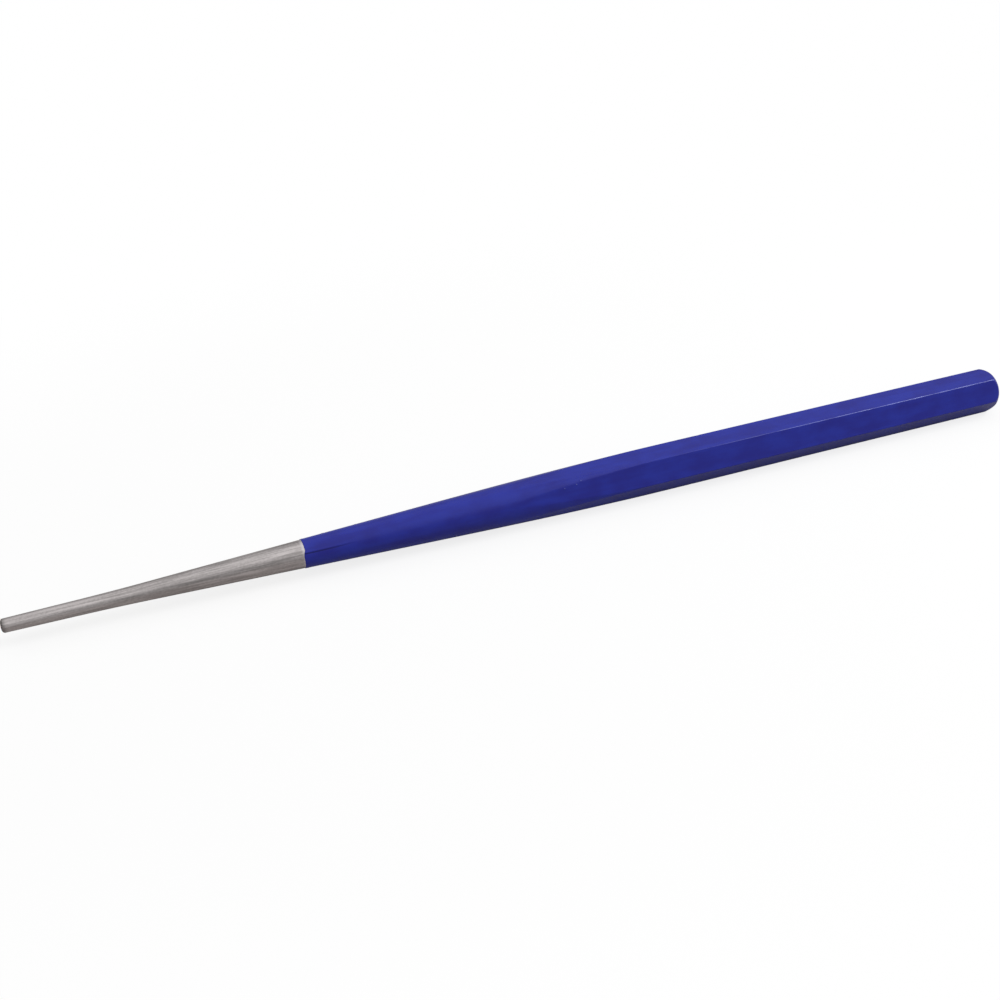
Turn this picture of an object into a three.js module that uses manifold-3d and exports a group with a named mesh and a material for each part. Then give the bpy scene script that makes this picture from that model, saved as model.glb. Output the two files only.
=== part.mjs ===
// A line-up punch: one hexagonal steel bar drawn down to a long round taper with a small rounded
// nose, and a coat of blue enamel over its shank and head.
// Units are millimetres. The tool lies along X on one flat of its hexagon, with its nose towards -X
// and +Z up. The origin is under its middle, on the surface that it lies on.

import * as THREE from "three";
import { mergeVertices } from "three/addons/utils/BufferGeometryUtils.js";
import Module from "manifold-3d";

// Bar stock
const OVERALL_LENGTH = 406.4; // of the finished tool, with the enamel on its head
const ACROSS_FLATS = 15.875;
const HEX_CORNER_RADIUS = 0.35;
const HEX_SIDES = 6;
const HEAD_EDGE_RADIUS = 6;
const HEAD_RUN_OUT = 0.2; // how far the head's edge starts outside the corners of the hexagon

// Turned front, from the nose backwards
const TIP_FLAT_DIAMETER = 1.6;
const TIP_DIAMETER = 5.0;
const NOSE_LENGTH = 1.05;
const PILOT_LENGTH = 24; // nearly parallel
const PILOT_HALF_ANGLE = THREE.MathUtils.degToRad(0.62);
const FLARE_LENGTH = 26; // hollow curve from the pilot into the cone
const CONE_LENGTH = 106; // straight
const SHOULDER_LENGTH = 164; // full curve from the cone until it runs parallel to the bar
const SHOULDER_RUN_OUT = 0.7; // how far the shoulder ends outside the corners of the hexagon

// Enamel
const BARE_LENGTH = 105.5; // steel left bare, from the nose
const ENAMEL_THICKNESS = 0.1;
const ENAMEL_CLEARANCE = 0.02;

// Facets
const TURNED_SIDES = 60;
const NOSE_STEPS = 5;
const FLARE_STEPS = 6;
const SHOULDER_STEPS = 14;
const HEAD_STEPS = 6;
const CORNER_STEPS = 3;
const CUT_MARGIN = 5; // how far a cutting form reaches past what it cuts

const wasm = await Module();
wasm.setup();

const enamelRise = ENAMEL_CLEARANCE + ENAMEL_THICKNESS;
const steelLength = OVERALL_LENGTH - enamelRise;
const flatRadius = ACROSS_FLATS / 2;
const halfSide = Math.PI / HEX_SIDES; // angle from the middle of a flat to a corner
const cornerCentre = (flatRadius - HEX_CORNER_RADIUS) / Math.cos(halfSide);
const cornerReach = cornerCentre + HEX_CORNER_RADIUS; // from the axis to a rounded corner

function solidOf(geometry) {
  geometry.deleteAttribute("normal");
  geometry.deleteAttribute("uv");
  const merged = mergeVertices(geometry);
  const mesh = new wasm.Mesh({
    numProp: 3,
    vertProperties: merged.attributes.position.array,
    triVerts: merged.index.array,
  });
  return new wasm.Manifold(mesh);
}

function geometryOf(solid) {
  const mesh = solid.getMesh();
  const geometry = new THREE.BufferGeometry();
  geometry.setAttribute("position", new THREE.BufferAttribute(mesh.vertProperties, mesh.numProp));
  geometry.setIndex(new THREE.BufferAttribute(mesh.triVerts, 1));
  const faceted = geometry.toNonIndexed();
  faceted.computeVertexNormals();
  return faceted;
}

// A profile of radius against distance from the tip, turned about the bar's axis.
function turned(profile) {
  const geometry = new THREE.LatheGeometry(profile, TURNED_SIDES);
  geometry.rotateZ(-Math.PI / 2);
  return solidOf(geometry);
}

// The hexagonal bar stock, grown outwards by a rise, with flats facing up and down.
function hexagonalBar(rise) {
  const shape = new THREE.Shape();
  const cornerRadius = HEX_CORNER_RADIUS + rise;
  for (let corner = 0; corner < HEX_SIDES; corner += 1) {
    const angle = (2 * corner + 1) * halfSide;
    const centreX = cornerCentre * Math.cos(angle);
    const centreY = cornerCentre * Math.sin(angle);
    shape.absarc(centreX, centreY, cornerRadius, angle - halfSide, angle + halfSide, false);
  }
  const depth = steelLength + 2 * CUT_MARGIN;
  const options = { depth, bevelEnabled: false, curveSegments: CORNER_STEPS };
  const geometry = new THREE.ExtrudeGeometry(shape, options);
  geometry.rotateY(Math.PI / 2);
  geometry.translate(-CUT_MARGIN, 0, 0);
  return solidOf(geometry);
}

// What the head's radiused edge leaves of the bar.
function headForm(rise) {
  const edgeRadius = HEAD_EDGE_RADIUS + rise;
  const radius = cornerReach + HEAD_RUN_OUT + rise;
  const end = steelLength + rise;
  const centreRadius = radius - edgeRadius;
  const edge = new THREE.EllipseCurve(
    centreRadius, end - edgeRadius, edgeRadius, edgeRadius, 0, Math.PI / 2);
  return turned([
    new THREE.Vector2(0, -CUT_MARGIN),
    new THREE.Vector2(radius, -CUT_MARGIN),
    ...edge.getPoints(HEAD_STEPS),
    new THREE.Vector2(0, end),
  ]);
}

// What the nose, pilot, flare, cone and shoulder leave of the bar.
function taperForm(rise) {
  const noseEnd = new THREE.Vector2(TIP_DIAMETER / 2 + rise, NOSE_LENGTH);
  const pilotSlope = Math.tan(PILOT_HALF_ANGLE);
  const pilotEnd = noseEnd.clone().add(new THREE.Vector2(PILOT_LENGTH * pilotSlope, PILOT_LENGTH));

  const shoulderRadius = cornerReach + SHOULDER_RUN_OUT + rise;
  const flareGain = (pilotSlope * FLARE_LENGTH) / 2;
  const coneReach = FLARE_LENGTH / 2 + CONE_LENGTH + SHOULDER_LENGTH / 2;
  const coneSlope = (shoulderRadius - pilotEnd.x - flareGain) / coneReach;

  const flareMiddle = pilotEnd.clone().add(new THREE.Vector2(flareGain, FLARE_LENGTH / 2));
  const halfFlare = new THREE.Vector2((coneSlope * FLARE_LENGTH) / 2, FLARE_LENGTH / 2);
  const coneStart = flareMiddle.clone().add(halfFlare);
  const coneEnd = coneStart.clone().add(new THREE.Vector2(CONE_LENGTH * coneSlope, CONE_LENGTH));
  const shoulderMiddle = new THREE.Vector2(shoulderRadius, coneEnd.y + SHOULDER_LENGTH / 2);
  const shoulderEnd = new THREE.Vector2(shoulderRadius, coneEnd.y + SHOULDER_LENGTH);

  const flatEdge = TIP_FLAT_DIAMETER / 2;
  const nose = new THREE.EllipseCurve(
    flatEdge, noseEnd.y, noseEnd.x - flatEdge, NOSE_LENGTH, -Math.PI / 2, 0);
  const flare = new THREE.QuadraticBezierCurve(pilotEnd, flareMiddle, coneStart);
  const shoulder = new THREE.QuadraticBezierCurve(coneEnd, shoulderMiddle, shoulderEnd);
  const far = Math.max(shoulderEnd.y, steelLength) + CUT_MARGIN;
  return turned([
    new THREE.Vector2(0, 0),
    ...nose.getPoints(NOSE_STEPS),
    ...flare.getPoints(FLARE_STEPS),
    ...shoulder.getPoints(SHOULDER_STEPS),
    new THREE.Vector2(shoulderRadius, far),
    new THREE.Vector2(0, far),
  ]);
}

// The whole bar, grown outwards by a rise everywhere behind its nose.
function barSolid(rise) {
  return hexagonalBar(rise).intersect(headForm(rise)).intersect(taperForm(rise));
}

// Everything ahead of the paint line.
function bareZone() {
  const radius = cornerReach + CUT_MARGIN;
  return turned([
    new THREE.Vector2(0, -CUT_MARGIN),
    new THREE.Vector2(radius, -CUT_MARGIN),
    new THREE.Vector2(radius, BARE_LENGTH),
    new THREE.Vector2(0, BARE_LENGTH),
  ]);
}

function enamelSolid() {
  return barSolid(enamelRise).subtract(barSolid(ENAMEL_CLEARANCE)).subtract(bareZone());
}

const steel = new THREE.MeshStandardMaterial({ color: 0x9a9294, roughness: 0.42, metalness: 1 });
const enamel = new THREE.MeshStandardMaterial({ color: 0x30349a, roughness: 0.25, metalness: 0 });

const punchBody = new THREE.Mesh(geometryOf(barSolid(0)), steel);
punchBody.name = "punch_body";

const enamelCoat = new THREE.Mesh(geometryOf(enamelSolid()), enamel);
enamelCoat.name = "enamel_coat";

const punch = new THREE.Group();
punch.name = "line_up_punch";
punch.position.set(-OVERALL_LENGTH / 2, 0, flatRadius + enamelRise);
punch.add(punchBody, enamelCoat);

export default punch;
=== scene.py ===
# A line-up punch in a plain studio: a ground steel bar with a long round taper and a rounded nose,
# and a skin of blue enamel over its shank and head.
# Everything is in metres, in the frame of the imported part: the tool lies along X on one flat of its
# hexagon, with its nose towards -X and +Z up.

import math

import bpy
import numpy as np
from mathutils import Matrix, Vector, noise


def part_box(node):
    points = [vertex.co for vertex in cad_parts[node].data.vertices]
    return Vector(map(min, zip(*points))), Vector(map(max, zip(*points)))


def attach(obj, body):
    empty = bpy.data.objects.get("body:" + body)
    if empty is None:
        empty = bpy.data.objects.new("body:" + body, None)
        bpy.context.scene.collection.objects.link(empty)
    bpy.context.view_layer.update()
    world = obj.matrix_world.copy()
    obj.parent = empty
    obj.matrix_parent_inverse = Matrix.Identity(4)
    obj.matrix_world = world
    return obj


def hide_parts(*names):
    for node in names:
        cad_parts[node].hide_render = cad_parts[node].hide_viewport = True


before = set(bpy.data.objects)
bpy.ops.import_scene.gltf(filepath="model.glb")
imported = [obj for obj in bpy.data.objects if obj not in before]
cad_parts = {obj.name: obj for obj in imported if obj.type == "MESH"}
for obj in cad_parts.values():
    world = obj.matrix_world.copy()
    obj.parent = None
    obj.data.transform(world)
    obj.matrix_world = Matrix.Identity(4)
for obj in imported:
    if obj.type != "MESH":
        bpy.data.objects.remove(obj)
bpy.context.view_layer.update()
bar_low, bar_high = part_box("punch_body")
coat_low, coat_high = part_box("enamel_coat")

MM = 0.001

# Places that the frame gives. Distances along the tool are measured from the tip.
TIP_X = bar_low.x
AXIS_HEIGHT = (bar_low.z + bar_high.z) / 2
FLAT_RADIUS = (bar_high.z - bar_low.z) / 2
STEEL_LENGTH = bar_high.x - bar_low.x
COAT_RISE = coat_high.z - bar_high.z
COAT_START = coat_low.x - bar_low.x

# The bar's own form, with the part's values
HEX_SIDES = 6
HEX_CORNER_RADIUS = 0.35 * MM
HEAD_EDGE_RADIUS = 6 * MM
HEAD_RUN_OUT = 0.2 * MM
TIP_FLAT_RADIUS = 0.8 * MM
TIP_RADIUS = 2.5 * MM
NOSE_LENGTH = 1.05 * MM
PILOT_LENGTH = 24 * MM
PILOT_SLOPE = math.tan(math.radians(0.62))
FLARE_LENGTH = 26 * MM
CONE_LENGTH = 106 * MM
SHOULDER_LENGTH = 164 * MM
SHOULDER_RUN_OUT = 0.7 * MM
COAT_CLEARANCE = 0.02 * MM

HALF_SIDE = math.pi / HEX_SIDES
CORNER_CENTRE = (FLAT_RADIUS - HEX_CORNER_RADIUS) / math.cos(HALF_SIDE)
CORNER_REACH = CORNER_CENTRE + HEX_CORNER_RADIUS
SHOULDER_RADIUS = CORNER_REACH + SHOULDER_RUN_OUT
CONE_GAIN = SHOULDER_RADIUS - TIP_RADIUS - PILOT_SLOPE * (PILOT_LENGTH + FLARE_LENGTH / 2)
CONE_SLOPE = CONE_GAIN / (FLARE_LENGTH / 2 + CONE_LENGTH + SHOULDER_LENGTH / 2)
EDGE_SOFTNESS = 0.05 * MM  # how far forging and paint round the edges between flats and taper

# Mesh density
CORNER_COLUMNS = 9
FLAT_COLUMNS = 34
CORNER_SPREAD = 1.7  # width of the dense columns, in half widths of the rounded corner
ROW_STEP = 0.5 * MM
HIDDEN_ROW_STEP = 8 * MM
NOSE_ROWS = 14
HEAD_ROWS = 28
DISC_RINGS = 5
LIP_ROWS = 5
COVERED_ROWS = 4  # fine rows of steel that reach under the paint

# Paint and grinding relief
PAINT_WAVE = 0.014 * MM
PAINT_WAVE_LENGTH = 34 * MM
PAINT_WAVE_WIDTH = 3.2 * MM
PAINT_LINE_WANDER = 0.12 * MM
PAINT_LINE_COARSE = (2.2, 4.4)  # radius and height in the noise of the circle that it follows
PAINT_LINE_FINE = (7.5, 9.1)
PAINT_LINE_STEP = 0.33 * MM  # how far the paint line jumps where the sag meets it
PAINT_LINE_STEP_ANGLE = math.radians(7)
PAINT_LINE_SETTLE = 3 * MM  # distance behind the paint line over which its wander dies out
PAINT_BEAD = 0.05 * MM
PAINT_BEAD_WIDTH = 0.7 * MM
GRIND_WAVE = 0.007 * MM
GRIND_WAVE_LENGTH = 26 * MM
GRIND_WAVE_WIDTH = 1.1 * MM
GRIND_SHIFT = Vector((3.1, 0.7, 5.3))  # where in the noise the waves are taken from
PAINT_SHIFT = Vector((8.4, 2.6, 1.9))

# A sag in the paint: a low ridge that runs back from the paint line, with a crease under it
SAG_ANGLE = math.radians(139)
SAG_LENGTH = 19 * MM
SAG_HEIGHT = 0.16 * MM
SAG_WIDTH = 0.42 * MM
SAG_SWAY = math.radians(1.5)
CREASE_DEPTH = 0.06 * MM
CREASE_WIDTH = 0.26 * MM

# Knocks on the hexagon's corners, and specks of dust under the paint
CORNER_DENTS = 90
CORNER_DENT_SIZES = (0.4, 1)
CORNER_DENT_DEPTH = 0.05 * MM
CORNER_DENT_LENGTH = 0.8 * MM
CORNER_DENT_ANGLE = math.radians(1.3)
DENT_SEED = 7
SPECK_HEIGHT = 0.1 * MM
SPECK_WIDTH = 0.36 * MM
SEEN_SPECKS = ((213.2, 125), (211.2, 132), (206.2, 135), (211, 204.5), (297.5, 189))  # mm, degrees
OTHER_SPECKS = 22
OTHER_SPECK_SIZES = (0.5, 0.9)
SPECK_SEED = 11

# How much each corner of the hexagon is marked pale, going round from +Y over the top: partly
# rubbed paint, partly a painted highlight along the corner. The mark grows towards the head.
CORNER_RUB_AND_HIGHLIGHT = (0.35, 0.8, 1, 0.12, 0.3, 0.45)
RUB_AND_HIGHLIGHT_START = 230 * MM
RUB_AND_HIGHLIGHT_LEAST = 0.4
RUB_AND_HIGHLIGHT_FADE = 1.2 * MM  # how far the head's edge turns in before the pale marks along the corners end

# Marks on the bare steel: dark oxide on the nose, and a pale rim ahead of the paint that is a painted
# highlight
OXIDE_LENGTH = 2.4 * MM
RIM_WIDTH = 1.1 * MM

# Finishes. Noise is in waves per metre along, across and up; contrasts are the limits of a ramp.
WHITE = (1, 1, 1, 1)
BLACK = (0, 0, 0, 1)
STEEL_DARK = (0.352, 0.327, 0.323, 1)
STEEL_LIGHT = (0.65, 0.608, 0.605, 1)
# Pale rim on the steel ahead of the paint: a painted highlight.
STEEL_RIM_HIGHLIGHT = (0.74, 0.71, 0.74, 1)
STEEL_OXIDE = (0.14, 0.132, 0.128, 1)
GRIND_BANDS = (7, 420, 420)
GRIND_LINES = (45, 1900, 1900)
STEEL_SPECKLE = (1100, 1500, 1500)
BAND_SHARE = 0.3
LINE_SHARE = 0.5
SPECKLE_SHARE = 0.2
STEEL_CONTRAST = (0.34, 0.66)
STEEL_ROUGHNESS = (0.36, 0.48)
ROUGHNESS_CONTRAST = (0.25, 0.75)
RIM_SHARE = 0.7
OXIDE_CONTRAST = (0.3, 0.6)
OXIDE_LEAST = 0.4
LINE_BUMP = 0.006 * MM
SPECKLE_BUMP = 0.008 * MM
ENAMEL_DEEP = (0.019, 0.022, 0.262, 1)
ENAMEL_BRIGHT = (0.021, 0.032, 0.341, 1)
# Pale colour of the corners: partly rubbed paint, partly a painted highlight.
ENAMEL_WORN_AND_HIGHLIT = (0.31, 0.36, 0.86, 1)
# Pale tops of the specks of dust under the paint: a painted highlight.
ENAMEL_SPECK_HIGHLIGHT = (0.2, 0.23, 0.5, 1)
# Dark band in the crease under the sag: painted shade.
ENAMEL_CREASE_SHADE = (0.008, 0.008, 0.05, 1)
ENAMEL_STREAKS = (14, 420, 420)
ENAMEL_CLOUDS = (90, 160, 160)
ENAMEL_GRAIN = (900, 900, 900)
STREAK_SHARE = 0.35
ENAMEL_CONTRAST = (0.35, 0.65)
ENAMEL_ROUGHNESS = (0.28, 0.33)
CLOUD_CONTRAST = (0.3, 0.7)
ENAMEL_SPECULAR = 0.25
# Ramps of the pale corner marks, which are partly wear and partly a painted highlight.
RUB_AND_HIGHLIGHT_CONTRAST = (0.05, 0.9)
RUB_AND_HIGHLIGHT_BREAKS = (110, 500, 500)
RUB_AND_HIGHLIGHT_BREAK_CONTRAST = (0.3, 0.6)
RUB_AND_HIGHLIGHT_BREAK_LEAST = 0.15
SPECK_CONTRAST = (0.55, 0.95)
CREASE_CONTRAST = (0.1, 0.8)
# Share of the painted shade in the crease under the sag.
CREASE_SHADE_SHARE = 0.6
GRAIN_BUMP = 0.006 * MM
STREAK_BUMP = 0.013 * MM

# Camera
CAMERA_PLACE = (-0.1737, -0.3871, 0.32776)
CAMERA_PITCH = math.radians(37.27)
CAMERA_YAW = math.radians(-21.54)
CAMERA_LENS = 50
CAMERA_SENSOR = 36

# Floor and light
FLOOR_SIZE = 8
FLOOR_DROP = 0.05 * MM
FLOOR_COLOUR = (0.39, 0.365, 0.356, 1)  # as the tool mirrors it
FLOOR_SHADE = 0.2  # share of the floor's white that the tool can shade for the camera
SHADE_REACH = (0.45, 0.25, 1)  # half lengths of the oval in which it does so
SHADE_FADE = 0.5  # share of the oval where the shade starts to fade out
REFLECTED_WHITE = 0.07  # how much of the white surroundings the tool's own surfaces mirror

KEY_LIGHT_PLACE = Vector((1.47, -0.26, 1.52))
KEY_LIGHT_SIZE = (0.8, 0.56)
KEY_LIGHT_POWER = 19
SKY_LOW = 0.34  # light from the walls
SKY_HIGH = 0.84  # light from the ceiling
SKY_EDGE_LOW = math.sin(math.radians(27))
SKY_EDGE_HIGH = math.sin(math.radians(45))


# Form of the bar

def hexagon_radius(angle, rise):
    """Radius of the rounded hexagon, grown by a rise, in each direction round the axis."""
    corner_radius = HEX_CORNER_RADIUS + rise
    from_corner = np.mod(angle + HALF_SIDE, 2 * HALF_SIDE) - HALF_SIDE
    flat = (FLAT_RADIUS + rise) / np.cos(HALF_SIDE - np.abs(from_corner))
    sideways = CORNER_CENTRE * np.sin(from_corner)
    inside = np.maximum(corner_radius ** 2 - sideways ** 2, 0)
    rounded = CORNER_CENTRE * np.cos(from_corner) + np.sqrt(inside)
    return np.where(np.abs(from_corner) < corner_half_angle(rise), rounded, flat)


def corner_half_angle(rise):
    """Half of the angle that a rounded corner takes up, seen from the axis."""
    corner_radius = HEX_CORNER_RADIUS + rise
    across = corner_radius * math.sin(HALF_SIDE)
    outwards = CORNER_CENTRE + corner_radius * math.cos(HALF_SIDE)
    return math.atan2(across, outwards)


def taper_radius(along):
    """Radius that the pilot, flare, cone and shoulder leave, behind the nose."""
    left = np.maximum(along - NOSE_LENGTH, 0)
    pilot = np.minimum(left, PILOT_LENGTH)
    left = left - PILOT_LENGTH
    flare = np.clip(left, 0, FLARE_LENGTH)
    left = left - FLARE_LENGTH
    cone = np.clip(left, 0, CONE_LENGTH)
    left = left - CONE_LENGTH
    shoulder = np.clip(left, 0, SHOULDER_LENGTH)
    radius = TIP_RADIUS + PILOT_SLOPE * (pilot + flare) + CONE_SLOPE * (cone + shoulder)
    radius = radius + (CONE_SLOPE - PILOT_SLOPE) * flare ** 2 / (2 * FLARE_LENGTH)
    return radius - CONE_SLOPE * shoulder ** 2 / (2 * SHOULDER_LENGTH)


def head_radius(along, rise):
    """Radius that the head's rounded edge leaves."""
    edge_radius = HEAD_EDGE_RADIUS + rise
    past = np.clip(along - (STEEL_LENGTH + rise - edge_radius), 0, edge_radius)
    return head_face_radius() + np.sqrt(edge_radius ** 2 - past ** 2)


def head_face_radius():
    """Radius of the flat face that the head is struck on."""
    return CORNER_REACH + HEAD_RUN_OUT - HEAD_EDGE_RADIUS


def soft_minimum(*radii):
    """The smallest of the radii, with the creases between them rounded."""
    stacked = np.stack(np.broadcast_arrays(*radii))
    lowest = stacked.min(axis=0)
    share = np.exp((lowest - stacked) / EDGE_SOFTNESS).sum(axis=0)
    return lowest - EDGE_SOFTNESS * np.log(share)


def bar_radius(along, angle, rise):
    """Radius of the whole bar behind its nose, grown by a rise."""
    hexagon = hexagon_radius(angle, rise)
    taper = taper_radius(along) + rise
    return soft_minimum(hexagon, taper, head_radius(along, rise))


def ring_angles():
    """Directions round the axis, close together at the corners and even on the flats."""
    spread = corner_half_angle(COAT_RISE) * CORNER_SPREAD
    corner = np.linspace(-spread, spread, CORNER_COLUMNS)
    flat = np.linspace(spread, 2 * HALF_SIDE - spread, FLAT_COLUMNS + 2)[1:-1]
    one_side = np.concatenate([corner, flat])
    return np.concatenate([one_side + 2 * HALF_SIDE * side for side in range(HEX_SIDES)])


ANGLES = ring_angles()


def points(along, angle, radius):
    """Points of the tool from distances along it, directions round its axis and radii."""
    along, angle, radius = np.broadcast_arrays(along, angle, radius)
    across = radius * np.cos(angle)
    up = AXIS_HEIGHT + radius * np.sin(angle)
    return np.stack([TIP_X + along, across, up], axis=-1)


def stretched_noise(along, angle, radius, length, width, shift):
    """Smooth noise from -1 to 1 over the surface, long in the tool's direction."""
    at = points(along, angle, radius)
    at = (at - np.array([TIP_X, 0, AXIS_HEIGHT])) / np.array([length, width, width])
    values = [noise.noise(Vector(p) + shift) for p in at.reshape(-1, 3)]
    return np.array(values).reshape(at.shape[:-1])


# Meshes

def strip_object(name, rings, first_centre, last_centre, attributes):
    """A closed mesh of rings from one centre point to another, with values at its points."""
    count, columns = rings.shape[:2]
    vertices = np.concatenate([rings.reshape(-1, 3), [first_centre], [last_centre]])
    first, last = count * columns, count * columns + 1
    faces = []
    for row in range(count - 1):
        for column in range(columns):
            beside = (column + 1) % columns
            here, there = row * columns, (row + 1) * columns
            faces.append((here + column, here + beside, there + beside, there + column))
    for column in range(columns):
        beside = (column + 1) % columns
        faces.append((first, beside, column))
        end = (count - 1) * columns
        faces.append((last, end + column, end + beside))
    mesh = bpy.data.meshes.new(name)
    mesh.from_pydata(vertices.tolist(), [], faces)
    mesh.polygons.foreach_set("use_smooth", [True] * len(faces))
    for attribute, values in attributes.items():
        layer = mesh.attributes.new(attribute, "FLOAT", "POINT")
        padded = np.concatenate([values.ravel(), [0, 0]])
        layer.data.foreach_set("value", padded.astype(np.float32))
    mesh.update()
    made = bpy.data.objects.new(name, mesh)
    bpy.context.scene.collection.objects.link(made)
    return made


def head_arc(rise):
    """Distances along the tool, close together where the head's edge turns in."""
    edge_radius = HEAD_EDGE_RADIUS + rise
    turn = np.linspace(0, math.pi / 2, HEAD_ROWS)
    return STEEL_LENGTH + rise - edge_radius * (1 - np.sin(turn))


def steel_bar():
    """The whole bar: nose, taper, hexagonal shank and head."""
    angle = ANGLES[None, :]
    turn = np.linspace(-math.pi / 2, 0, NOSE_ROWS)[:-1, None]
    nose_along = NOSE_LENGTH * (1 + np.sin(turn))
    nose_radius = TIP_FLAT_RADIUS + (TIP_RADIUS - TIP_FLAT_RADIUS) * np.cos(turn)
    covered = COAT_START + COVERED_ROWS * ROW_STEP
    shown = np.arange(NOSE_LENGTH, covered, ROW_STEP)
    head = head_arc(0)
    hidden = np.linspace(covered, head[0], round((head[0] - covered) / HIDDEN_ROW_STEP))
    along = np.concatenate([shown, hidden[:-1], head])[:, None]
    radius = bar_radius(along, angle, 0)
    wave = stretched_noise(along, angle, radius, GRIND_WAVE_LENGTH, GRIND_WAVE_WIDTH, GRIND_SHIFT)
    radius = radius + GRIND_WAVE * wave * (along < covered)
    disc = np.linspace(0, 1, DISC_RINGS + 1)[1:-1, None]
    front = points(0, angle, disc * TIP_FLAT_RADIUS)
    nose = points(nose_along, angle, nose_radius)
    body = points(along, angle, radius)
    back = points(STEEL_LENGTH, angle, disc[::-1] * head_face_radius())
    rings = np.concatenate([front, nose, body, back])
    first_centre = (TIP_X, 0, AXIS_HEIGHT)
    last_centre = (TIP_X + STEEL_LENGTH, 0, AXIS_HEIGHT)
    return strip_object("ground_steel_bar", rings, first_centre, last_centre, {})


def angle_between(angle, other):
    """Signed turn from one direction round the axis to another, at most half a turn."""
    return np.mod(angle - other + math.pi, 2 * math.pi) - math.pi


def circle_noise(angle, radius, height):
    """Smooth noise from -1 to 1 round a circle, which ends where it began."""
    places = [Vector((math.cos(a) * radius, math.sin(a) * radius, height)) for a in angle]
    return np.array([noise.noise(place) for place in places])


def paint_line(angle):
    """How far the paint's front edge lies behind its nominal place, in each direction."""
    wander = circle_noise(angle, *PAINT_LINE_COARSE) + circle_noise(angle, *PAINT_LINE_FINE) / 2
    turned = angle_between(angle, SAG_ANGLE)
    step = -np.tanh(turned / PAINT_LINE_STEP_ANGLE) * np.cos(turned / 2) ** 2
    return PAINT_LINE_WANDER * wander + PAINT_LINE_STEP * step


def paint_sag(along, angle, radius):
    """From 0 to 1, the ridge where the wet paint sagged, and the crease under it."""
    behind = (along - COAT_START) / SAG_LENGTH
    middle = SAG_ANGLE + SAG_SWAY * np.sin(behind * math.pi)
    below = radius * angle_between(angle, middle)
    fade = np.sqrt(np.clip(1 - behind, 0, 1))
    ridge = np.exp(-((below / SAG_WIDTH) ** 2))
    crease = np.exp(-(((below - SAG_WIDTH) / CREASE_WIDTH) ** 2))
    return fade * ridge, fade * crease


def paint_specks(along, angle, radius):
    """From 0 to 1, how far the paint stands up over specks of dust."""
    chance = np.random.default_rng(SPECK_SEED)
    places = [(place * MM, math.radians(turn), 1) for place, turn in SEEN_SPECKS]
    for _ in range(OTHER_SPECKS):
        place = chance.uniform(COAT_START, STEEL_LENGTH)
        places.append((place, chance.uniform(0, 2 * math.pi), chance.uniform(*OTHER_SPECK_SIZES)))
    lifted = np.zeros(radius.shape)
    for place, turn, size in places:
        length = (along - place) / (SPECK_WIDTH * size)
        across = radius * angle_between(angle, turn) / (SPECK_WIDTH * size)
        lifted = lifted + size * np.exp(-(length ** 2) - across ** 2)
    return lifted


def corner_dents(along, angle):
    """How deep the small knocks are that the corners of the hexagon have taken."""
    chance = np.random.default_rng(DENT_SEED)
    depth = np.zeros(np.broadcast_shapes(along.shape, angle.shape))
    start = NOSE_LENGTH + PILOT_LENGTH + FLARE_LENGTH + CONE_LENGTH
    for _ in range(CORNER_DENTS):
        place = chance.uniform(start, STEEL_LENGTH)
        corner = chance.integers(HEX_SIDES) * 2 * HALF_SIDE
        size = chance.uniform(*CORNER_DENT_SIZES)
        length = (along - place) / (CORNER_DENT_LENGTH * size)
        width = angle_between(angle, corner) / CORNER_DENT_ANGLE
        depth = depth + CORNER_DENT_DEPTH * size * np.exp(-(length ** 2) - width ** 2)
    return np.minimum(depth, CORNER_DENT_DEPTH)


def rubbed_and_highlit_corners(along, angle):
    """From 0 to 1, how pale the paint is marked along the crisp corners of the hexagon: partly rubbed
    paint, partly a painted highlight.
    """
    from_corner = np.mod(angle + HALF_SIDE, 2 * HALF_SIDE) - HALF_SIDE
    near = np.clip(1 - np.abs(from_corner) / corner_half_angle(COAT_RISE), 0, 1)
    crisp = np.clip((taper_radius(along) - CORNER_REACH) / SHOULDER_RUN_OUT, 0, 1)
    corner = np.floor((angle + HALF_SIDE) / (2 * HALF_SIDE)).astype(int) % HEX_SIDES
    back = np.clip((along - RUB_AND_HIGHLIGHT_START) / (STEEL_LENGTH - RUB_AND_HIGHLIGHT_START), 0, 1)
    wear_and_highlight = RUB_AND_HIGHLIGHT_LEAST + (1 - RUB_AND_HIGHLIGHT_LEAST) * back ** 2
    turned_in = CORNER_REACH - head_radius(along, 0)
    standing = np.clip(1 - turned_in / RUB_AND_HIGHLIGHT_FADE, 0, 1)
    return near * crisp * standing * wear_and_highlight * np.array(CORNER_RUB_AND_HIGHLIGHT)[corner]


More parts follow.
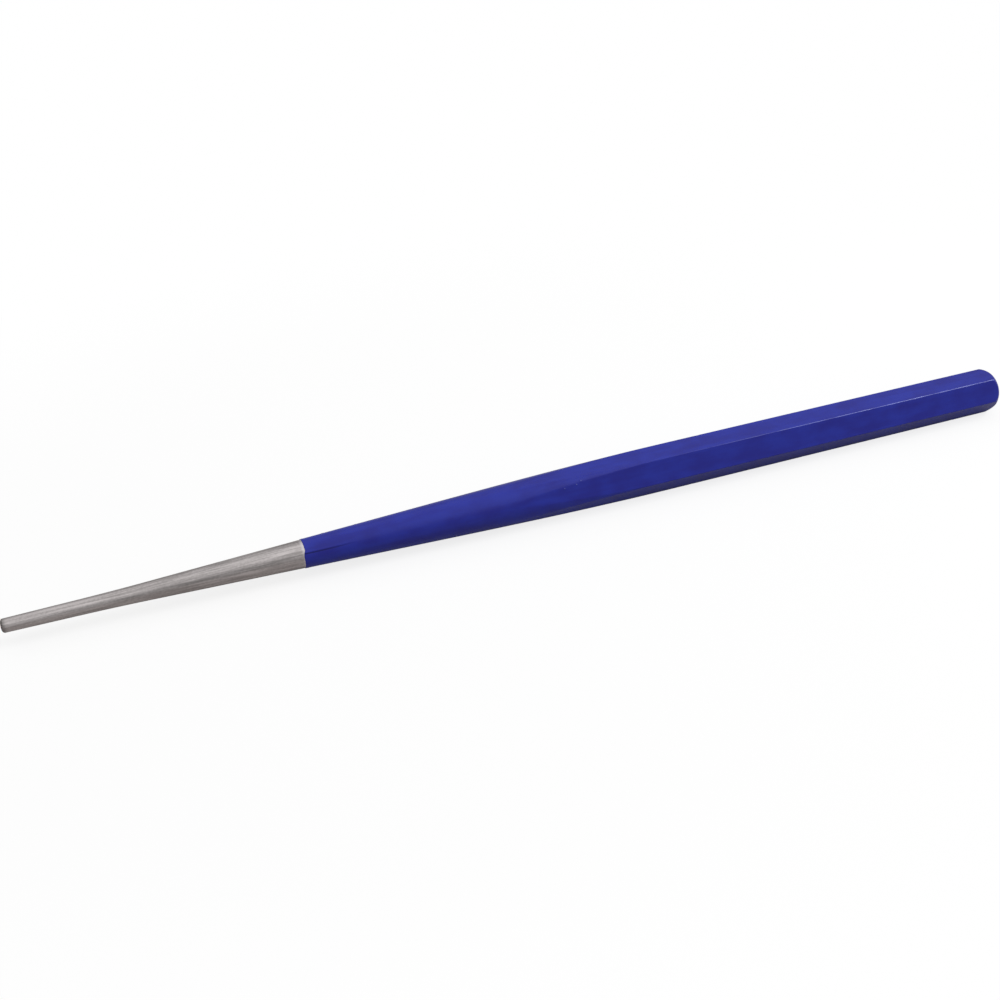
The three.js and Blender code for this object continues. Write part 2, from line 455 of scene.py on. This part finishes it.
def enamel_skin():
    """The paint: an open-fronted shell with a rounded lip, over the bar's shank and head."""
    angle = ANGLES[None, :]
    end = head_arc(COAT_RISE)
    outer_along = np.arange(COAT_START + 0.5 * ROW_STEP, end[0], ROW_STEP)
    outer_along = np.concatenate([outer_along, end])[:, None]
    inner_end = head_arc(COAT_CLEARANCE)[::-1]
    inner_along = np.linspace(inner_end[-1], COAT_START,
                              round((inner_end[-1] - COAT_START) / HIDDEN_ROW_STEP))
    inner_along = np.concatenate([inner_end, inner_along[1:]])[:, None]

    line = paint_line(ANGLES)[None, :]
    outer_place = outer_along + line * np.exp(-(outer_along - COAT_START) / PAINT_LINE_SETTLE)
    outer_radius = bar_radius(outer_place, angle, COAT_RISE)
    behind = (outer_along - COAT_START) / PAINT_BEAD_WIDTH
    wave = stretched_noise(
        outer_place, angle, outer_radius, PAINT_WAVE_LENGTH, PAINT_WAVE_WIDTH, PAINT_SHIFT)
    ridge, crease = paint_sag(outer_place, angle, outer_radius)
    specks = paint_specks(outer_place, angle, outer_radius)
    relief = PAINT_BEAD * np.exp(-((behind - 1) ** 2)) + PAINT_WAVE * wave
    relief = relief + SAG_HEIGHT * ridge - CREASE_DEPTH * crease + SPECK_HEIGHT * specks
    outer_radius = outer_radius + relief - corner_dents(outer_place, angle)

    inner_place = inner_along + line * np.exp(-(inner_along - COAT_START) / PAINT_LINE_SETTLE)
    inner_radius = bar_radius(inner_place, angle, COAT_CLEARANCE)

    turn = np.linspace(-math.pi / 2, math.pi / 2, LIP_ROWS + 2)[1:-1, None]
    half_film = (outer_radius[0] - inner_radius[-1]) / 2
    lip_radius = inner_radius[-1] + half_film * (1 + np.sin(turn))
    lip_place = COAT_START + line - half_film * (np.cos(turn) - 1)

    disc = np.linspace(0, 1, DISC_RINGS + 1)[1:-1, None]
    inner_head = STEEL_LENGTH + COAT_CLEARANCE
    outer_head = STEEL_LENGTH + COAT_RISE
    rings = np.concatenate([
        points(inner_head, angle, disc * head_face_radius()),
        points(inner_place, angle, inner_radius),
        points(lip_place, angle, lip_radius),
        points(outer_place, angle, outer_radius),
        points(outer_head, angle, disc[::-1] * head_face_radius()),
    ])
    first_outer = len(disc) + len(inner_along) + LIP_ROWS
    last_outer = first_outer + len(outer_along)
    # The pale corner mark is partly rubbed paint and partly a painted highlight.
    marks = {"rubbed_and_highlit": rubbed_and_highlit_corners(outer_place, angle), "crease": crease, "specks": specks}
    for name, values in marks.items():
        marks[name] = np.zeros(rings.shape[:2])
        marks[name][first_outer:last_outer] = values
    first_centre = (TIP_X + inner_head, 0, AXIS_HEIGHT)
    last_centre = (TIP_X + outer_head, 0, AXIS_HEIGHT)
    return strip_object("enamel_skin", rings, first_centre, last_centre, marks)


# Materials

class Nodes:
    """The node tree of a material or world, with short calls for the nodes that are used here."""

    def __init__(self, owner, shader):
        owner.use_nodes = True
        self.owner = owner
        self.tree = owner.node_tree
        self.shader = self.tree.nodes[shader]

    def add(self, kind, **inputs):
        made = self.tree.nodes.new(kind)
        for key, value in inputs.items():
            self.feed(value, made.inputs[key.replace("_", " ")])
        return made

    def feed(self, value, socket):
        if isinstance(value, bpy.types.NodeSocket):
            self.tree.links.new(value, socket)
        else:
            socket.default_value = value

    def set(self, **inputs):
        """Feeds values or outputs to the shader's sockets."""
        for key, value in inputs.items():
            self.feed(value, self.shader.inputs[key.replace("_", " ")])

    def place(self, kind="Object"):
        return self.tree.nodes.new("ShaderNodeTexCoord").outputs[kind]

    def along(self):
        """Distance from the tool's tip."""
        split = self.add("ShaderNodeSeparateXYZ", Vector=self.place())
        return self.math("SUBTRACT", split.outputs["X"], TIP_X)

    def noise(self, per_metre, detail=3):
        mapping = self.add("ShaderNodeMapping", Vector=self.place(), Scale=per_metre)
        made = self.add("ShaderNodeTexNoise", Vector=mapping.outputs["Vector"], Detail=detail, Scale=1)
        return made.outputs["Fac"]

    def ramp(self, value, limits, ends=(0, 1)):
        """A smooth step from one end to the other as the value passes its limits."""
        made = self.add("ShaderNodeMapRange", Value=value)
        made.interpolation_type = "SMOOTHSTEP"
        made.inputs["From Min"].default_value, made.inputs["From Max"].default_value = limits
        made.inputs["To Min"].default_value, made.inputs["To Max"].default_value = ends
        return made.outputs["Result"]

    def math(self, operation, first, second):
        made = self.tree.nodes.new("ShaderNodeMath")
        made.operation = operation
        self.feed(first, made.inputs[0])
        self.feed(second, made.inputs[1])
        return made.outputs["Value"]

    def vector_math(self, operation, first, second=None):
        made = self.add("ShaderNodeVectorMath", Vector=first)
        made.operation = operation
        if second is not None:
            self.feed(second, made.inputs[1])
        return made.outputs

    def mix(self, share, first, second):
        made = self.tree.nodes.new("ShaderNodeMix")
        made.data_type = "RGBA"
        self.feed(share, made.inputs["Factor"])
        self.feed(first, made.inputs["A"])
        self.feed(second, made.inputs["B"])
        return made.outputs["Result"]

    def blend(self, *weighted):
        """The sum of values, each with its weight."""
        total = None
        for value, weight in weighted:
            part = self.math("MULTIPLY", value, weight)
            total = part if total is None else self.math("ADD", total, part)
        return total

    def bump(self, height, distance, below=None):
        made = self.add("ShaderNodeBump", Height=height, Distance=distance)
        if below is not None:
            self.feed(below, made.inputs["Normal"])
        return made.outputs["Normal"]

    def attribute(self, name):
        made = self.tree.nodes.new("ShaderNodeAttribute")
        made.attribute_name = name
        return made.outputs["Fac"]

    def sight(self):
        """Which rays see the white surroundings: those seen directly, and the mirrored share."""
        path = self.tree.nodes.new("ShaderNodeLightPath").outputs
        seen = self.math("MAXIMUM", path["Is Camera Ray"], path["Is Transmission Ray"])
        mirrored = self.math("MULTIPLY", path["Is Glossy Ray"], REFLECTED_WHITE)
        return seen, mirrored


def finish(name):
    """The nodes of a new material."""
    return Nodes(bpy.data.materials.new(name), "Principled BSDF")


def steel_material():
    """Ground steel: grinding lines along the taper, fine speckle, a slightly warm grey, a dark oxide
    nose and a painted highlight on the rim ahead of the paint.
    """
    nodes = finish("ground_steel")
    bands = nodes.noise(GRIND_BANDS)
    lines = nodes.noise(GRIND_LINES)
    speckle = nodes.noise(STEEL_SPECKLE)
    share = nodes.blend((bands, BAND_SHARE), (lines, LINE_SHARE), (speckle, SPECKLE_SHARE))
    colour = nodes.mix(nodes.ramp(share, STEEL_CONTRAST), STEEL_DARK, STEEL_LIGHT)
    # A paler band on the steel just ahead of the paint line: a painted highlight.
    rim = nodes.ramp(nodes.along(), (COAT_START - RIM_WIDTH, COAT_START), (0, RIM_SHARE))
    colour = nodes.mix(rim, colour, STEEL_RIM_HIGHLIGHT)
    nose = nodes.ramp(nodes.along(), (0, OXIDE_LENGTH), (1, 0))
    nose = nodes.math("MULTIPLY", nose, nodes.ramp(speckle, OXIDE_CONTRAST, (OXIDE_LEAST, 1)))
    colour = nodes.mix(nose, colour, STEEL_OXIDE)
    roughness = nodes.ramp(lines, ROUGHNESS_CONTRAST, STEEL_ROUGHNESS)
    normal = nodes.bump(lines, LINE_BUMP)
    normal = nodes.bump(speckle, SPECKLE_BUMP, normal)
    nodes.set(Base_Color=colour, Metallic=1, Roughness=roughness, Normal=normal)
    return nodes.owner


def enamel_material():
    """Blue enamel: streaks along the bar and fine orange peel. Its corners are pale, partly from
    rubbing and partly a painted highlight; the specks carry a painted highlight, the crease painted
    shade.
    """
    nodes = finish("blue_enamel")
    streaks = nodes.noise(ENAMEL_STREAKS)
    clouds = nodes.noise(ENAMEL_CLOUDS)
    grain = nodes.noise(ENAMEL_GRAIN, detail=2)
    share = nodes.blend((streaks, STREAK_SHARE), (clouds, 1 - STREAK_SHARE))
    colour = nodes.mix(nodes.ramp(share, ENAMEL_CONTRAST), ENAMEL_DEEP, ENAMEL_BRIGHT)
    # Pale corners: partly rubbed paint, partly a painted highlight that grows towards the head.
    rubbed_and_highlit = nodes.ramp(nodes.attribute("rubbed_and_highlit"), RUB_AND_HIGHLIGHT_CONTRAST)
    broken = nodes.ramp(nodes.noise(RUB_AND_HIGHLIGHT_BREAKS), RUB_AND_HIGHLIGHT_BREAK_CONTRAST, (RUB_AND_HIGHLIGHT_BREAK_LEAST, 1))
    colour = nodes.mix(nodes.math("MULTIPLY", rubbed_and_highlit, broken), colour, ENAMEL_WORN_AND_HIGHLIT)
    # The tops of the specks are painted pale: a painted highlight.
    speck_highlight = nodes.ramp(nodes.attribute("specks"), SPECK_CONTRAST)
    colour = nodes.mix(speck_highlight, colour, ENAMEL_SPECK_HIGHLIGHT)
    # The crease under the sag is painted darker: painted shade.
    crease_shade = nodes.ramp(nodes.attribute("crease"), CREASE_CONTRAST, (0, CREASE_SHADE_SHARE))
    colour = nodes.mix(crease_shade, colour, ENAMEL_CREASE_SHADE)
    roughness = nodes.ramp(clouds, CLOUD_CONTRAST, ENAMEL_ROUGHNESS)
    normal = nodes.bump(grain, GRAIN_BUMP)
    normal = nodes.bump(streaks, STREAK_BUMP, normal)
    nodes.set(Base_Color=colour, Roughness=roughness, Normal=normal)
    nodes.set(Specular_IOR_Level=ENAMEL_SPECULAR)
    return nodes.owner


# Studio

def floor():
    """A wide plain floor. The camera sees it white, less the shadow of the tool."""
    half = FLOOR_SIZE / 2
    corners = [(-half, -half), (half, -half), (half, half), (-half, half)]
    mesh = bpy.data.meshes.new("studio_floor")
    mesh.from_pydata([(x, y, -FLOOR_DROP) for x, y in corners], [], [(0, 1, 2, 3)])
    made = bpy.data.objects.new("studio_floor", mesh)
    bpy.context.scene.collection.objects.link(made)
    nodes = finish("studio_floor")
    nodes.set(Roughness=1, Specular_IOR_Level=0, Emission_Color=WHITE)
    seen, mirrored = nodes.sight()
    oval = nodes.vector_math("DIVIDE", nodes.place(), SHADE_REACH)["Vector"]
    away = nodes.vector_math("LENGTH", oval)["Value"]
    shade = nodes.ramp(away, (SHADE_FADE, 1), (FLOOR_SHADE, 0))
    shaded = nodes.mix(shade, BLACK, WHITE)
    white = nodes.math("MULTIPLY", seen, nodes.math("SUBTRACT", 1, shade))
    nodes.set(Base_Color=nodes.mix(seen, FLOOR_COLOUR, shaded))
    nodes.set(Emission_Strength=nodes.math("MAXIMUM", white, mirrored))
    mesh.materials.append(nodes.owner)


def area_light(name, place, size, power):
    """A soft box that faces the middle of the tool."""
    light = bpy.data.lights.new(name, "AREA")
    light.shape = "RECTANGLE"
    light.size, light.size_y = size
    light.energy = power
    made = bpy.data.objects.new(name, light)
    made.location = place
    made.rotation_euler = (-place).to_track_quat("-Z", "Y").to_euler()
    bpy.context.scene.collection.objects.link(made)


def sky():
    """Even light from the walls and a stronger one from the ceiling. The camera sees it white."""
    nodes = Nodes(bpy.data.worlds.new("studio_sky"), "Background")
    split = nodes.add("ShaderNodeSeparateXYZ", Vector=nodes.place("Generated"))
    light = nodes.ramp(split.outputs["Z"], (SKY_EDGE_LOW, SKY_EDGE_HIGH), (SKY_LOW, SKY_HIGH))
    seen, mirrored = nodes.sight()
    nodes.set(Color=nodes.mix(nodes.math("ADD", seen, mirrored), light, WHITE))
    bpy.context.scene.world = nodes.owner


def camera():
    """A camera at the photograph's viewing angle."""
    data = bpy.data.cameras.new("camera")
    data.lens = CAMERA_LENS
    data.sensor_width = CAMERA_SENSOR
    made = bpy.data.objects.new("camera", data)
    made.location = CAMERA_PLACE
    made.rotation_euler = (math.pi / 2 - CAMERA_PITCH, 0, CAMERA_YAW)
    bpy.context.scene.collection.objects.link(made)
    bpy.context.scene.camera = made


def dress(piece, material, node):
    """Gives a piece its finish and lets it stand for its solid."""
    piece.data.materials.append(material)
    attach(piece, "root")
    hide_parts(node)


camera()
sky()
floor()
area_light("key_light", KEY_LIGHT_PLACE, KEY_LIGHT_SIZE, KEY_LIGHT_POWER)
dress(steel_bar(), steel_material(), "punch_body")
dress(enamel_skin(), enamel_material(), "enamel_coat")

bpy.context.scene.view_settings.view_transform = "Standard"
